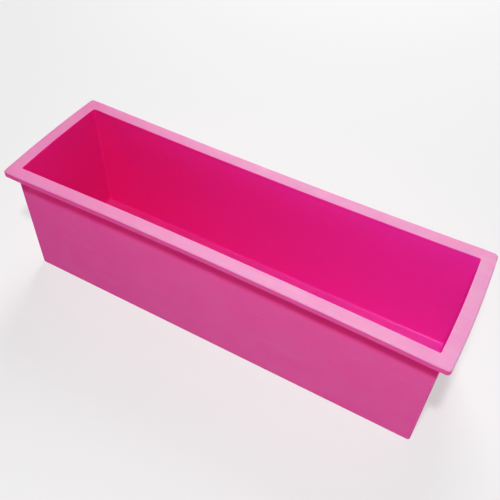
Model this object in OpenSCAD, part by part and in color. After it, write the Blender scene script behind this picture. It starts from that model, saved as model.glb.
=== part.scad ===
// Flexible loaf mould for pouring soap: an open rectangular tub with a flat
// flange round its mouth. The real mould is cast in one piece. It is drawn here
// as six regions that meet face to face: a floor, four walls and the flange.
//
// Millimetres. X runs along the mould and Z is up. The origin is on the
// underside of the floor, at its middle. The front is at -Y.

/* [Overall size] */
// Length over the flange
length = 280; // [200:5:360]
// Width over the flange
width = 86; // [60:1:120]
// Height from the underside of the floor to the top of the flange
height = 85; // [50:1:110]

/* [Walls and floor] */
// Thickness of the walls
wall_t = 3; // [2:0.5:4]
// Thickness of the floor
floor_t = 2.5; // [2:0.5:4]
// How far each long wall leans in at the mouth, halfway along
lean_in = 1.8; // [0:0.1:4]

/* [Flange] */
// How far the flange stands out from the walls
overhang = 5.2; // [3:0.1:10]
// Thickness of the flange
flange_t = 4; // [2:0.5:6]
// Plan radius of the flange's outer corners
flange_corner_r = 2; // [1:0.5:6]

/* [Edges] */
// Plan radius of the upright outer corners
corner_r = 1.5; // [1:0.5:6]
// Plan radius of the upright inner corners
inner_corner_r = 1; // [0.5:0.5:3]
// Radius round the outer bottom edge
bottom_r = 1; // [0.5:0.5:2.5]
// Radius inside, where the floor meets the walls
fillet_r = 1.5; // [1:0.5:4]

/* [Hidden] */

// Outside of the tub
body_l = length - 2 * overhang;
body_w = width - 2 * overhang;

// Underside of the flange, and how far below it the walls are still upright
flange_z = height - flange_t;
stiff_drop = 5;
upright_z = flange_z - stiff_drop;

// Each wall carries the fillet at its foot, so the floor panel starts here
foot_w = wall_t + fillet_r;

// The end walls wrap round the corners as far as this distance from the middle,
// which is clear of every corner's arc
split_x = body_l / 2 - max(foot_w + inner_corner_r, corner_r + 1);

// Steps along a long wall, up a wall, and round each quarter arc
run_steps = 24;
rise_steps = 8;
arc_steps = 6;

rim_pink = [0.90, 0.58, 0.74];
wall_pink = [0.84, 0.27, 0.56];
floor_pink = [0.86, 0.12, 0.44];

// How far a long wall leans in at x and z: most at the flange, halfway along
function lean(x, z) =
    lean_in * pow(min(z / upright_z, 1), 1.5) * max(0, 1 - pow(x / split_x, 2));

// Plan radius of a corner whose faces are d inside the tub's outer faces
function corner_radius(d) = max(corner_r - d, inner_corner_r);

// Quarter arc in plan, of radius r, about the left corner at side = -1 or 1 of
// a rectangle that is l by w, from the angle a0 through 90 degrees clockwise
function corner_arc(l, w, r, side, a0) =
    [for (i = [0 : arc_steps])
        let (a = a0 - 90 * i / arc_steps)
        [-l / 2 + r + r * cos(a), side * (w / 2 - r) + r * sin(a)]];

// Plan line of the left end, clockwise from the front to the back
function left_end_line(l, w, r) =
    concat(corner_arc(l, w, r, -1, 270), corner_arc(l, w, r, 1, 180));

// Section of a wall, as [distance in from the outer face, height]
wall_section = concat(
    [for (i = [0 : arc_steps])
        let (a = 90 * i / arc_steps)
        [bottom_r * (1 - sin(a)), bottom_r * (1 - cos(a))]],
    [for (i = [1 : rise_steps])
        [0, bottom_r + (upright_z - bottom_r) * i / rise_steps]],
    [[0, height], [wall_t, height]],
    [for (i = [rise_steps : -1 : 1])
        [wall_t, floor_t + fillet_r + (upright_z - floor_t - fillet_r) * i / rise_steps]],
    [for (i = [0 : arc_steps])
        let (a = 90 * i / arc_steps)
        [wall_t + fillet_r * (1 - cos(a)), floor_t + fillet_r * (1 - sin(a))]],
    [[foot_w, 0]]);

// Solid through a list of rings, which all have the same number of points
module shell(rings) {
    m = len(rings);
    n = len(rings[0]);
    polyhedron(
        points = [for (ring = rings) each ring],
        faces = concat(
            [[for (j = [n - 1 : -1 : 0]) j]],
            [[for (j = [0 : n - 1]) (m - 1) * n + j]],
            [for (i = [0 : m - 2], j = [0 : n - 1])
                let (a = i * n + j, b = i * n + (j + 1) % n)
                each [[a, b, a + n], [b, b + n, a + n]]]));
}

// Long wall at the front, between the two end walls
module long_wall() {
    shell([for (i = [0 : run_steps])
        let (x = split_x * (2 * i / run_steps - 1))
        [for (p = wall_section) [x, -body_w / 2 + p[0] + lean(x, p[1]), p[1]]]]);
}

// Left end wall with both its upright corners
module end_wall() {
    // Plan line of each point of the section, with a straight start and finish
    lines = [for (p = wall_section)
        let (l = body_l - 2 * p[0], w = body_w - 2 * p[0])
        concat([[-split_x, -w / 2]],
            left_end_line(l, w, corner_radius(p[0])),
            [[-split_x, w / 2]])];
    shell([for (k = [len(lines[0]) - 1 : -1 : 0])
        [for (j = [0 : len(lines) - 1]) [lines[j][k][0], lines[j][k][1], wall_section[j][1]]]]);
}

// Closed outline, d inside the tub's outer faces, with the lean that it has at z
module outline(d, r, z) {
    l = body_l - 2 * d;
    w = body_w - 2 * d;
    left = left_end_line(l, w, r);
    back = [for (i = [0 : run_steps])
        let (x = split_x * (2 * i / run_steps - 1)) [x, w / 2 - lean(x, z)]];
    half = concat(left, back);
    polygon(concat(half, [for (p = half) [-p[0], -p[1]]]));
}

module floor_panel() {
    color(floor_pink)
        linear_extrude(floor_t) outline(foot_w, corner_radius(foot_w), 0);
}

module front_wall() {
    color(wall_pink) long_wall();
}

module back_wall() {
    color(wall_pink) mirror([0, 1, 0]) long_wall();
}

module left_end_wall() {
    color(wall_pink) end_wall();
}

module right_end_wall() {
    color(wall_pink) mirror([1, 0, 0]) end_wall();
}

// Flat flange that stands out from the walls, level with their tops
module rim_flange() {
    color(rim_pink)
        translate([0, 0, flange_z])
            linear_extrude(flange_t)
                difference() {
                    outline(-overhang, flange_corner_r, flange_z);
                    outline(0, corner_radius(0), flange_z);
                }
}

floor_panel();
front_wall();
back_wall();
left_end_wall();
right_end_wall();
rim_flange();
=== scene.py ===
"""The looks of a soap loaf mould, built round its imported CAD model.

The mould is one casting in soft pink silicone, so it is one seamless mesh: loops
round the tub that follow the wall's section from the underside of the floor, up
the outside, round the flange, down the inside and across the floor.
Metres, in the CAD model's frame.
"""
import math

import bmesh
import bpy
from mathutils import Matrix, Vector, noise


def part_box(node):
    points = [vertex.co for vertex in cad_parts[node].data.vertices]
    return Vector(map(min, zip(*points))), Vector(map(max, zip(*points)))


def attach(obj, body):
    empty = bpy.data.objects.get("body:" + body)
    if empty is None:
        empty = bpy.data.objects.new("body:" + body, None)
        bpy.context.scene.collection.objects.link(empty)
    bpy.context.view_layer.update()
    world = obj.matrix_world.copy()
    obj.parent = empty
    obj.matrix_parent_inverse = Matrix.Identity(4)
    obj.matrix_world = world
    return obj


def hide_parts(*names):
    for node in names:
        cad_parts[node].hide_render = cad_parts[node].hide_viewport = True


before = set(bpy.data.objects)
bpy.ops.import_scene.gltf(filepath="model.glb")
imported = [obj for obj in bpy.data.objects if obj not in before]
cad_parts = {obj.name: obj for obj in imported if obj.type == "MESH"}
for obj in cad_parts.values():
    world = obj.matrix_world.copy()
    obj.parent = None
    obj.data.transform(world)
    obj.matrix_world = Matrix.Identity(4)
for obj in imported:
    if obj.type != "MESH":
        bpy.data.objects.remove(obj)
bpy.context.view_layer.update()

# ---- Sizes, from the CAD nodes' boxes -----------------------------------------
MM = 0.001
flange_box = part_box("rim_flange")
front_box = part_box("front_wall")
end_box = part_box("left_end_wall")
floor_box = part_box("floor_panel")

HALF_L = -end_box[0].x              # outside of the tub, from the middle
HALF_W = -front_box[0].y
TOP = flange_box[1].z
FLANGE_Z = flange_box[0].z          # underside of the flange
FLOOR_Z = floor_box[1].z            # inside of the floor
OVERHANG = flange_box[1].x - HALF_L
FOOT = HALF_L - floor_box[1].x      # wall and fillet together

# ---- Sizes that the boxes don't give, as in the CAD model -----------------------
FILLET_R = 1.5 * MM
WALL = FOOT - FILLET_R
BOTTOM_R = 1.0 * MM
CORNER_R = 1.5 * MM
FLANGE_CORNER_R = 2.0 * MM
INNER_CORNER_R = 1.0 * MM
LEAN_IN = 1.8 * MM                  # of a long wall at the flange, halfway along
LEAN_POWER = 1.5                    # of the height, by which a wall's lean or bow grows
UPRIGHT_Z = FLANGE_Z - 5 * MM       # above this the stiff flange keeps it upright
LEAN_ENDS = HALF_L - FOOT - INNER_CORNER_R

# ---- Shapes that only the finished surface has ----------------------------------
ROOT_R = 0.8 * MM                   # under the flange, where it meets the wall
LIP_LOW_R = 0.6 * MM                # lower edge of the flange
LIP_TOP_R = 0.8 * MM                # upper edge of the flange
MOUTH_R = 0.6 * MM                  # edge of the mouth
PARTING = 0.12 * MM                 # half width of the parting line on the flange
BELLY = 0.9 * MM                    # bow of an end wall at the mouth, corners to middle
SWAY = 0.22 * MM                    # the most that the thin walls can wander
SWAY_LENGTH = 60 * MM               # length of such a wander
SWAY_APART = 1.1                    # from one wall's place in the noise to the next's
LONG_FADE = 4                       # powers by which the lean, bow and sway of a wall
END_FADE = 24                       # fade out from it towards the middle of the mould

# ---- Wear and painted shade: how much the frosting shows, of 1 on an open face ---
FLANGE_SHADOW_DEPTH = 15 * MM                   # below the flange, how far down the flange's painted shadow reaches
FLANGE_SHADOW_WEAR = 0.15                 # wear right under the flange, where the painted shadow is darkest
FLANGE_SHADOW_POWER = 6                   # of the distance below the flange, by which it grows
EDGE_WEAR = 0.12                    # how much more a rounded edge is rubbed than a face

# ---- Mesh density ----------------------------------------------------------------
LONG_STEPS = 72                     # along a long side of a loop
END_STEPS = 22                      # along an end of a loop
CORNER_STEPS = 8                    # round a corner of a loop
RISE_STEPS = 18                     # up the open part of a wall
FLANGE_SHADOW_STEPS = 8                   # and up the part with the flange's painted shadow
RIM_STEPS = 4                       # across the top of the rim
ARC_STEPS = 5                       # round an arc of the section
EDGE_STEPS = 6                      # round an edge of the rim's top
FILLET_STEPS = 8                    # round the fillet inside
FILLET_WALL_POINTS = 6              # and how many of its points are finished as wall
FLOOR_LOOPS = [30 * MM, 24 * MM, 18 * MM, 13 * MM, 9 * MM]     # how far in they are
CLOSING = 0.4 * MM                  # half width of the face that closes the floor
CLOSING_ROUND = 0.9                 # most of a loop's half width that its corners take

# ---- Camera ----------------------------------------------------------------------
CAMERA_AT = (0.1286, -0.2333, 0.3485)
HEADING = 27.36                     # degrees to the left of +Y
TILT = 48.09                        # degrees below level
ROLL = -2.27                        # degrees clockwise
FOCAL_MM = 46.88
SENSOR_MM = 36.0

# ---- Floor and backdrop ----------------------------------------------------------
FLOOR_REACH = 6.0                   # from the middle to each side
FLOOR_WHITE = 0.365                 # how much of the light the floor sends back
FLOOR_GLOW = 0.55                   # and its own, which keeps shadows pale
SWEEP_LOW = 0.60                    # brightness of the backdrop at the horizon
SWEEP_HIGH = 0.0                    # and overhead
SWEEP_TOP = 0.5                     # sine of the height at which the fade ends

# Parts of the casting's surface, in the order of finishes()
PARTS = ("outer", "rim", "inner", "base")


def arc(cx, cz, r, start, end, steps=ARC_STEPS):
    """Points of an arc in the section, from one angle to another, in degrees."""
    angles = [math.radians(start + (end - start) * i / steps) for i in range(steps + 1)]
    return [(cx + r * math.cos(a), cz + r * math.sin(a)) for a in angles]


def parting_line(lip):
    """The fine ridge where the two halves of the steel mould met, round the flange."""
    middle = (FLANGE_Z + TOP) / 2
    return [(lip, middle - PARTING), (lip - PARTING / 2, middle), (lip, middle + PARTING)]


def rise(d, low, high, steps):
    """Points of an upright stretch of the section, without its two ends."""
    return [(d, low + (high - low) * i / steps) for i in range(1, steps)]


def rubbed(points):
    """Points of a rounded edge, with the wear of a face at both ends and more between."""
    last = len(points) - 1
    return [(d, z, 1 + EDGE_WEAR * math.sin(math.pi * i / last))
            for i, (d, z) in enumerate(points)]


def worn_and_shaded(points):
    """Points of a face, with its wear, which is less under the flange as a painted shadow of
    it.
    """
    faded = []
    for d, z in points:
        in_flange_shadow = -OVERHANG < d <= 0 and z <= FLANGE_Z
        t = min(1.0, (FLANGE_Z - z) / FLANGE_SHADOW_DEPTH) if in_flange_shadow else 1.0
        faded.append((d, z, FLANGE_SHADOW_WEAR + (1 - FLANGE_SHADOW_WEAR) * t ** FLANGE_SHADOW_POWER))
    return faded


def section():
    """The wall's section: (distance in from the tub's outer face, height, wear and painted
    shade, part).
    """
    across = [HALF_W - CLOSING] + FLOOR_LOOPS
    lip = -OVERHANG
    half = EDGE_STEPS // 2              # where a rounded edge changes its finish
    lip_low = arc(lip + LIP_LOW_R, FLANGE_Z + LIP_LOW_R, LIP_LOW_R, 270, 180)
    lip_top = rubbed(arc(lip + LIP_TOP_R, TOP - LIP_TOP_R, LIP_TOP_R, 180, 90, EDGE_STEPS))
    mouth = rubbed(arc(WALL - MOUTH_R, TOP - MOUTH_R, MOUTH_R, 90, 0, EDGE_STEPS))
    fillet = worn_and_shaded(arc(WALL + FILLET_R, FLOOR_Z + FILLET_R, FILLET_R, 180, 270, FILLET_STEPS))
    outer = (worn_and_shaded([(d, 0.0) for d in across] + [(FOOT, 0.0)])
             + rubbed(arc(BOTTOM_R, BOTTOM_R, BOTTOM_R, 270, 180))
             + worn_and_shaded(rise(0.0, BOTTOM_R, FLANGE_Z - FLANGE_SHADOW_DEPTH, RISE_STEPS))
             + worn_and_shaded([(0.0, FLANGE_Z - FLANGE_SHADOW_DEPTH)])
             + worn_and_shaded(rise(0.0, FLANGE_Z - FLANGE_SHADOW_DEPTH, FLANGE_Z - ROOT_R, FLANGE_SHADOW_STEPS))
             + worn_and_shaded(arc(-ROOT_R, FLANGE_Z - ROOT_R, ROOT_R, 0, 90))
             + rubbed(lip_low) + worn_and_shaded(parting_line(lip)) + lip_top[:half])
    rim = (lip_top[half:]
           + worn_and_shaded([(lip + (WALL - lip) * i / RIM_STEPS, TOP) for i in range(1, RIM_STEPS)])
           + mouth[:half + 1])
    inner = (mouth[half + 1:]
             + worn_and_shaded(rise(WALL, TOP - MOUTH_R, FLOOR_Z + FILLET_R, RISE_STEPS))
             + fillet[:FILLET_WALL_POINTS])
    base = fillet[FILLET_WALL_POINTS:] + worn_and_shaded([(d, FLOOR_Z) for d in reversed(across)])
    return [(*point, part) for part, points in zip(PARTS, (outer, rim, inner, base))
            for point in points]


def slack(z):
    """How much of its lean or bow a wall has at z, from 0 at its foot to 1."""
    return min(z / UPRIGHT_Z, 1.0) ** LEAN_POWER


def lean(x, z):
    """How far a long wall leans in at x and z."""
    return LEAN_IN * slack(z) * max(0.0, 1 - (x / LEAN_ENDS) ** 2)


def belly(y, z):
    """How far an end wall bows outward at y and z, in from its corners as much as out."""
    return BELLY * slack(z) * (0.5 - (y / HALF_W) ** 2)


def sway(x, z, wall):
    """How far a wall wanders outward at x along it and z up it: least at its foot. The
    front and back walls are -1 and 1, the left and right ones -2 and 2."""
    place = Vector((x, z, SWAY_APART * wall)) / SWAY_LENGTH
    return SWAY * min(1.0, z / (TOP / 2)) * noise.noise(place)


def corner_radius(d):
    """Plan radius of a loop's corners, d in from the tub's outer face."""
    if d < 0:
        return FLANGE_CORNER_R + (CORNER_R - FLANGE_CORNER_R) * (1 + d / OVERHANG)
    return max(CORNER_R - d, INNER_CORNER_R)


def plan_loop(hx, hy, r):
    """Rounded rectangle, with half sides hx and hy, starting at the left of the front."""
    cx, cy = hx - r, hy - r
    sides = [((-cx, -hy), (cx, -hy), LONG_STEPS, 270, (cx, -cy)),
             ((hx, -cy), (hx, cy), END_STEPS, 0, (cx, cy)),
             ((cx, hy), (-cx, hy), LONG_STEPS, 90, (-cx, cy)),
             ((-hx, cy), (-hx, -cy), END_STEPS, 180, (-cx, -cy))]
    points = []
    for start, end, steps, angle, centre in sides:
        for i in range(steps):
            t = i / steps
            points.append((start[0] + (end[0] - start[0]) * t,
                           start[1] + (end[1] - start[1]) * t))
        for i in range(CORNER_STEPS):
            a = math.radians(angle + 90 * i / CORNER_STEPS)
            points.append((centre[0] + r * math.cos(a), centre[1] + r * math.sin(a)))
    return points


def loop_points(d, z):
    """One loop of the casting, with the lean, bow and sway of its walls."""
    hx, hy = HALF_L - d, HALF_W - d
    loop = []
    for x, y in plan_loop(hx, hy, min(corner_radius(d), hy * CLOSING_ROUND)):
        near_long = min(1.0, abs(y) / (HALF_W - WALL)) ** LONG_FADE
        near_end = min(1.0, abs(x) / (HALF_L - WALL)) ** END_FADE
        out_y = math.copysign(near_long, y) * (sway(x, z, math.copysign(1, y)) - lean(x, z))
        out_x = math.copysign(near_end, x) * (sway(y, z, math.copysign(2, x)) + belly(y, z))
        loop.append(Vector((x + out_x, y + out_y, z)))
    return loop


def mould_mesh():
    """The whole casting as one closed mesh of loops, with the wear and painted shade of each
    point.
    """
    bm = bmesh.new()
    wear_and_shade_layer = bm.verts.layers.float.new("wear_and_shade")
    stations = section()
    rows = []
    for d, z, wear_and_shade, _ in stations:
        row = [bm.verts.new(p) for p in loop_points(d, z)]
        for v in row:
            v[wear_and_shade_layer] = wear_and_shade
        rows.append(row)
    for row, following, (*_, part) in zip(rows, rows[1:], stations[1:]):
        for i in range(len(row)):
            j = (i + 1) % len(row)
            face = bm.faces.new((row[i], row[j], following[j], following[i]))
            face.material_index = PARTS.index(part)
            face.smooth = True
    # One face closes the underside, and one the cavity's floor
    bm.faces.new(rows[0][::-1])
    bm.faces.new(rows[-1]).material_index = PARTS.index("base")
    bmesh.ops.recalc_face_normals(bm, faces=bm.faces)
    mesh = bpy.data.meshes.new("mould")
    bm.to_mesh(mesh)
    bm.free()
    return mesh


def add_object(name, data):
    """A new object in the scene."""
    made = bpy.data.objects.new(name, data)
    bpy.context.scene.collection.objects.link(made)
    return made


# ---- Materials -------------------------------------------------------------------
PIGMENT = (0.79, 0.013, 0.30)        # the silicone itself
PAINTED_SHADE_OUTSIDE_LEFT = (0.72, 0.011, 0.27)          # painted shade: the same, outside, darker at the left end
PAINTED_FLANGE_SHADOW = (0.78, 0.011, 0.20)           # painted shade: the same, darker, in the shadow of the flange
PAINTED_SHADE_INSIDE_LEFT = (0.86, 0.014, 0.28)        # painted shade: the same, inside, darker at the left end
PAINTED_LIGHT_INSIDE_RIGHT = (0.92, 0.038, 0.53)        # painted light: and brighter at the right end
PAINTED_SHADE_FLOOR_LEFT = (0.78, 0.022, 0.24)   # painted shade: the cavity's floor, darker than the walls, at the left end
PAINTED_SHADE_FLOOR_RIGHT = (0.84, 0.062, 0.49)   # and at the right end, where painted light brightens it
FROST_AND_SHEEN = (0.77, 0.45, 0.655)          # the same under a full frosting of fine scuffs, which on the rim and walls is also a painted sheen

CLOUD_SIZE = 28 * MM
STREAK_SIZE = 5 * MM                 # across a streak
STREAK_STRETCH = (7, 1, 1)           # and how much longer it is along the mould
SMUDGE_SIZE = 14 * MM
RIPPLE_SIZE = 9 * MM
GRAIN_SIZE = 0.35 * MM


def new_material(name):
    """A material with an empty node tree, its Principled shader and its output."""
    material = bpy.data.materials.new(name)
    material.use_nodes = True
    nodes = material.node_tree.nodes
    nodes.clear()
    output = nodes.new("ShaderNodeOutputMaterial")
    shader = nodes.new("ShaderNodeBsdfPrincipled")
    material.node_tree.links.new(shader.outputs["BSDF"], output.inputs["Surface"])
    return material, shader


class Nodes:
    """Short ways to add the nodes that the silicone's surface is worked out with."""

    def __init__(self, material):
        self.tree = material.node_tree
        self.place = self.add("ShaderNodeTexCoord").outputs["Object"]

    def add(self, kind, **settings):
        made = self.tree.nodes.new(kind)
        for key, value in settings.items():
            setattr(made, key, value)
        return made

    def join(self, source, socket):
        self.tree.links.new(source, socket)

    def noise(self, size, detail=2.0, stretch=(1, 1, 1), offset=0.0):
        """Noise from 0 to 1 with features of about a size, in metres, and a stretch."""
        spread = self.add("ShaderNodeMapping")
        spread.inputs["Location"].default_value = (offset, offset, offset)
        spread.inputs["Scale"].default_value = [1 / (size * k) for k in stretch]
        self.join(self.place, spread.inputs["Vector"])
        made = self.add("ShaderNodeTexNoise")
        made.inputs["Scale"].default_value = 1.0
        made.inputs["Detail"].default_value = detail
        self.join(spread.outputs["Vector"], made.inputs["Vector"])
        return made.outputs["Fac"]

    def remap(self, value, low, high, to_low, to_high):
        """A value between low and high, moved to between to_low and to_high."""
        made = self.add("ShaderNodeMapRange")
        for name, number in (("From Min", low), ("From Max", high),
                             ("To Min", to_low), ("To Max", to_high)):
            made.inputs[name].default_value = number
        self.join(value, made.inputs["Value"])
        return made.outputs["Result"]

    def along(self, start, end):
        """How far along X a point is, from 0 at start to 1 at end."""
        parts = self.add("ShaderNodeSeparateXYZ")
        self.join(self.place, parts.inputs["Vector"])
        return self.remap(parts.outputs["X"], start, end, 0.0, 1.0)

    def colour(self, rgb):
        made = self.add("ShaderNodeRGB")
        made.outputs["Color"].default_value = (*rgb, 1)
        return made.outputs["Color"]

    def mix(self, factor, a, b):
        made = self.add("ShaderNodeMix", data_type="RGBA")
        self.join(factor, made.inputs["Factor"])
        for name, colour in (("A", a), ("B", b)):
            socket = [i for i in made.inputs if i.name == name and i.type == "RGBA"][0]
            self.join(colour, socket)
        return [o for o in made.outputs if o.type == "RGBA"][0]

    def combine(self, operation, a, b):
        made = self.add("ShaderNodeMath", operation=operation)
        self.join(a, made.inputs[0])
        self.join(b, made.inputs[1])
        return made.outputs["Value"]

    def sum(self, a, b):
        return self.combine("ADD", a, b)

    def product(self, a, b):
        return self.combine("MULTIPLY", a, b)

    def bump(self, height, distance, below=None):
        """A bump of a height, in metres, over the bump below it."""
        made = self.add("ShaderNodeBump")
        made.inputs["Distance"].default_value = distance
        self.join(height, made.inputs["Height"])
        if below:
            self.join(below, made.inputs["Normal"])
        return made.outputs["Normal"]


def silicone(name, pigment_and_shade, frost_and_sheen, roughness, grain, ripple, sheen=0.0, specular=0.5,
             smudged=(0.7, 1.5)):
    """Cast silicone. Its pigment shows through a pale frosting, which is thicker in soft
    clouds, in rubbed streaks and on worn edges, and which on the rim and outer walls is
    partly a painted sheen of the lamps. Pigment is given at the left and right ends,
    and frost at the left end and from the middle on; the change between the ends is
    painted light and shade. Under the flange the colour turns to a painted shadow of the
    flange. Grain is the texture from the mould's blasted steel, and ripple the slow waves
    of a smooth face, both as heights. Smudges change the roughness by factors between
    the two in smudged."""
    material, shader = new_material(name)
    nodes = Nodes(material)
    along = nodes.along(-HALF_L, HALF_L)
    wear_and_shade = nodes.add("ShaderNodeAttribute", attribute_name="wear_and_shade").outputs["Fac"]
    clouds = nodes.remap(nodes.noise(CLOUD_SIZE, detail=3.0),
                         low=0.25, high=0.75, to_low=0.88, to_high=1.06)
    streaks = nodes.remap(nodes.noise(STREAK_SIZE, 4.0, STREAK_STRETCH, offset=3.0),
                          low=0.55, high=0.80, to_low=0.0, to_high=0.2)
    # Painted sheen: the frosting is partly real and partly the lamps' sheen, and its rise
    # from left to right is painted light.
    frosting_and_sheen = nodes.product(nodes.product(wear_and_shade, nodes.remap(along, 0.0, 0.5, *frost_and_sheen)),
                             nodes.sum(clouds, streaks))
    # Painted shade and light: outside and inside, the left and right ends differ in colour by
    # how the lamps fall.
    cast_colour_and_shade = nodes.mix(along, nodes.colour(pigment_and_shade[0]), nodes.colour(pigment_and_shade[1]))
    # Painted shade: where the wear is lowest, under the flange, the colour turns to the
    # darker one of the flange's shadow.
    colour_with_flange_shadow = nodes.mix(wear_and_shade, nodes.colour(PAINTED_FLANGE_SHADOW), cast_colour_and_shade)
    nodes.join(nodes.mix(frosting_and_sheen, colour_with_flange_shadow, nodes.colour(FROST_AND_SHEEN)),
               shader.inputs["Base Color"])

    smudges = nodes.remap(nodes.noise(SMUDGE_SIZE, detail=5.0, offset=7.0), low=0.3, high=0.7,
                          to_low=smudged[0] * roughness, to_high=smudged[1] * roughness)
    nodes.join(smudges, shader.inputs["Roughness"])
    waves = nodes.bump(nodes.noise(RIPPLE_SIZE, detail=1.0, offset=5.0), ripple)
    nodes.join(nodes.bump(nodes.noise(GRAIN_SIZE, detail=3.0), grain, below=waves),
               shader.inputs["Normal"])

    shader.inputs["IOR"].default_value = 1.41
    shader.inputs["Specular IOR Level"].default_value = specular
    shader.inputs["Sheen Weight"].default_value = sheen
    shader.inputs["Sheen Roughness"].default_value = 0.5
    shader.inputs["Sheen Tint"].default_value = (1.0, 0.6, 0.9, 1)
    shader.inputs["Subsurface Weight"].default_value = 0.5
    shader.inputs["Subsurface Radius"].default_value = (1.0, 0.06, 0.25)
    shader.inputs["Subsurface Scale"].default_value = 5 * MM
    return material


def finishes():
    """The materials of the casting's parts, in the order of PARTS."""
    return [
        # Painted shade: the outside is darker and less frosted at the left end, where less
        # light falls.
        silicone("silicone_outer", (PAINTED_SHADE_OUTSIDE_LEFT, PIGMENT), frost_and_sheen=(0.135, 0.18), roughness=0.6,
                 grain=0.02 * MM, ripple=0.05 * MM, sheen=0.05, specular=0.05),
        # Painted sheen: the rim's thick frosting is partly the lamps' sheen, and its rise to
        # the right is painted light.
        silicone("silicone_rim", (PIGMENT, PIGMENT), frost_and_sheen=(0.51, 0.70), roughness=0.6,
                 grain=0.02 * MM, ripple=0.03 * MM, sheen=0.3, specular=0.4),
        # Painted shade and light: inside, crimson at the left end turns to magenta at the
        # right.
        silicone("silicone_inner", (PAINTED_SHADE_INSIDE_LEFT, PAINTED_LIGHT_INSIDE_RIGHT), frost_and_sheen=(0.005, 0.01), roughness=0.17,
                 grain=0.001 * MM, ripple=0.08 * MM, specular=0.25),
        # Painted shade: the cavity's floor is darker than the walls, with painted light
        # rising to the right.
        silicone("silicone_base", (PAINTED_SHADE_FLOOR_LEFT, PAINTED_SHADE_FLOOR_RIGHT), frost_and_sheen=(0.005, 0.01),
                 roughness=0.3, grain=0.001 * MM, ripple=0.08 * MM, specular=0.25,
                 smudged=(0.92, 1.08))]


mould = add_object("mould", mould_mesh())
for finish in finishes():
    mould.data.materials.append(finish)
normals = mould.modifiers.new("flat_faces", "WEIGHTED_NORMAL")
normals.keep_sharp = True
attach(mould, "root")
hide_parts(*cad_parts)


# ---- Floor, light and camera ------------------------------------------------------
def add_floor():
    """A plain pale floor under the mould."""
    bm = bmesh.new()
    bmesh.ops.create_grid(bm, x_segments=1, y_segments=1, size=FLOOR_REACH)
    mesh = bpy.data.meshes.new("floor")
    bm.to_mesh(mesh)
    bm.free()
    floor = add_object("floor", mesh)
    material, shader = new_material("floor_white")
    shader.inputs["Base Color"].default_value = (FLOOR_WHITE, FLOOR_WHITE, FLOOR_WHITE, 1)
    shader.inputs["Roughness"].default_value = 0.9
    shader.inputs["Specular IOR Level"].default_value = 0.0
    shader.inputs["Emission Color"].default_value = (1, 1, 1, 1)
    shader.inputs["Emission Strength"].default_value = FLOOR_GLOW
    mesh.materials.append(material)


def add_world():
    """A studio sweep: about as bright as the floor at the horizon, and dark overhead."""
    world = bpy.data.worlds.new("studio")
    world.use_nodes = True
    tree = world.node_tree
    place = tree.nodes.new("ShaderNodeTexCoord")
    height = tree.nodes.new("ShaderNodeSeparateXYZ")
    fade = tree.nodes.new("ShaderNodeMapRange")
    fade.interpolation_type = "SMOOTHSTEP"
    for name, number in (("From Min", 0.0), ("From Max", SWEEP_TOP),
                         ("To Min", SWEEP_LOW), ("To Max", SWEEP_HIGH)):
        fade.inputs[name].default_value = number
    tree.links.new(place.outputs["Generated"], height.inputs["Vector"])
    tree.links.new(height.outputs["Z"], fade.inputs["Value"])
    tree.links.new(fade.outputs["Result"], tree.nodes["Background"].inputs["Strength"])
    tree.nodes["Background"].inputs["Color"].default_value = (1, 1, 1, 1)
    bpy.context.scene.world = world


def add_light(name, at, size, share):
    """Square lamp aimed at the origin. Share is how much of the brightness of a white
    floor it gives there."""
    away = Vector(at)
    lamp = bpy.data.lights.new(name, "AREA")
    lamp.size = size
    # Watts that light the floor there with pi * share, as pi makes a white floor white
    lamp.energy = share * math.pi ** 2 * away.length ** 3 / away.z
    holder = add_object(name, lamp)
    holder.location = away
    holder.rotation_euler = away.to_track_quat("Z", "Y").to_euler()


def add_camera():
    """The scene's camera, which is turned, tilted and then rolled."""
    heading, tilt = math.radians(HEADING), math.radians(TILT)
    turn = Matrix.Rotation(heading, 4, "Z") @ Matrix.Rotation(math.pi / 2 - tilt, 4, "X")
    roll = Matrix.Rotation(math.radians(-ROLL), 4, "Z")
    data = bpy.data.cameras.new("camera")
    data.sensor_width = SENSOR_MM
    data.lens = FOCAL_MM
    data.clip_start = 0.01
    camera = add_object("camera", data)
    camera.matrix_world = Matrix.Translation(CAMERA_AT) @ turn @ roll
    bpy.context.scene.camera = camera


add_floor()
add_world()
add_light("key", at=(0.115, -0.245, 0.585), size=0.034, share=0.53)
add_light("back_softbox", at=(-0.21, 0.78, 0.89), size=0.5, share=0.25)
add_light("low_softbox", at=(-0.28, 0.95, 0.55), size=0.5, share=0.18)
add_camera()
bpy.context.scene.view_settings.view_transform = "Standard"
